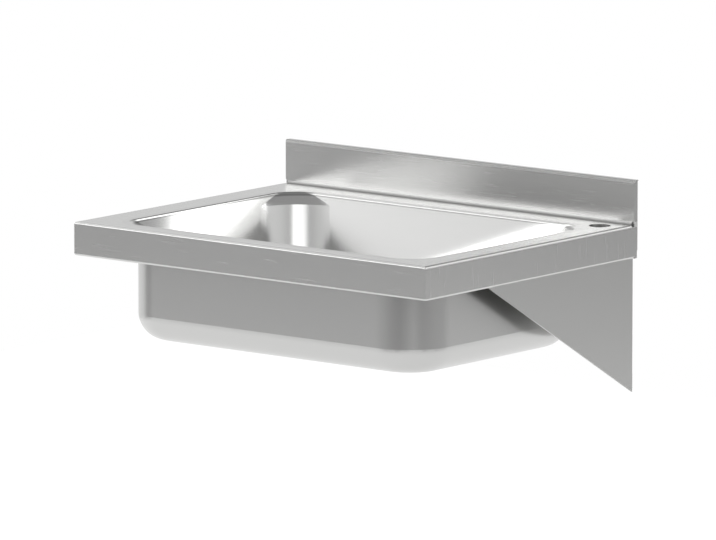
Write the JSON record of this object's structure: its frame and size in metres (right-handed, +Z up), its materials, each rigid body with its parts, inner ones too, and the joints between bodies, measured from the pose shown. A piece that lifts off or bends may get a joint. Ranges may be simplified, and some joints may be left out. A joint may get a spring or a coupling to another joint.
{
  "type": "wall-hung hand wash sink",
  "caption": "Wall-hung stainless steel hand wash sink with a folded deck, a low upstand, a deep pressed bowl, a tap hole on the right and triangular side brackets",
  "frame": {"origin": "On the wall plane, in the middle of the sink's width and level with the top of its deck", "axes": "+Z is up, +Y points into the wall, the front apron faces -Y, and +X points to the right when seen from the front, the tap hole's side"},
  "size_m": [0.5, 0.38, 0.24],
  "materials": {
    "satin_sheet": "satin brushed stainless steel sheet, grain along the width",
    "polished_sheet": "pressed and polished stainless steel sheet",
    "bracket_steel": "satin stainless steel plate",
    "fastener_steel": "plain stainless steel",
    "waste_chrome": "bright chrome plate",
    "nut_brass": "plain machined brass",
    "seal_rubber": "matt black rubber",
    "damping_rubber": "matt dark grey bitumen-filled rubber",
    "slip_plastic": "plain white nylon"
  },
  "bodies": {
    "root": {"deck_sheet": "satin_sheet", "bowl": "polished_sheet", "back_panel": "satin_sheet", "bracket_right": "bracket_steel", "bracket_left": "bracket_steel", "tap_hole_ring": "bracket_steel", "weld_studs": "fastener_steel", "stud_washers": "fastener_steel", "stud_nuts": "fastener_steel", "damping_pads": "damping_rubber", "waste_body": "waste_chrome", "strainer_plate": "waste_chrome", "strainer_screw": "fastener_steel", "flange_seal": "seal_rubber", "tail_seal": "seal_rubber", "slip_washer": "slip_plastic", "back_nut": "nut_brass", "earth_lug": "bracket_steel", "earth_bolt": "nut_brass", "earth_nut": "nut_brass"}
  },
  "joints": []
}
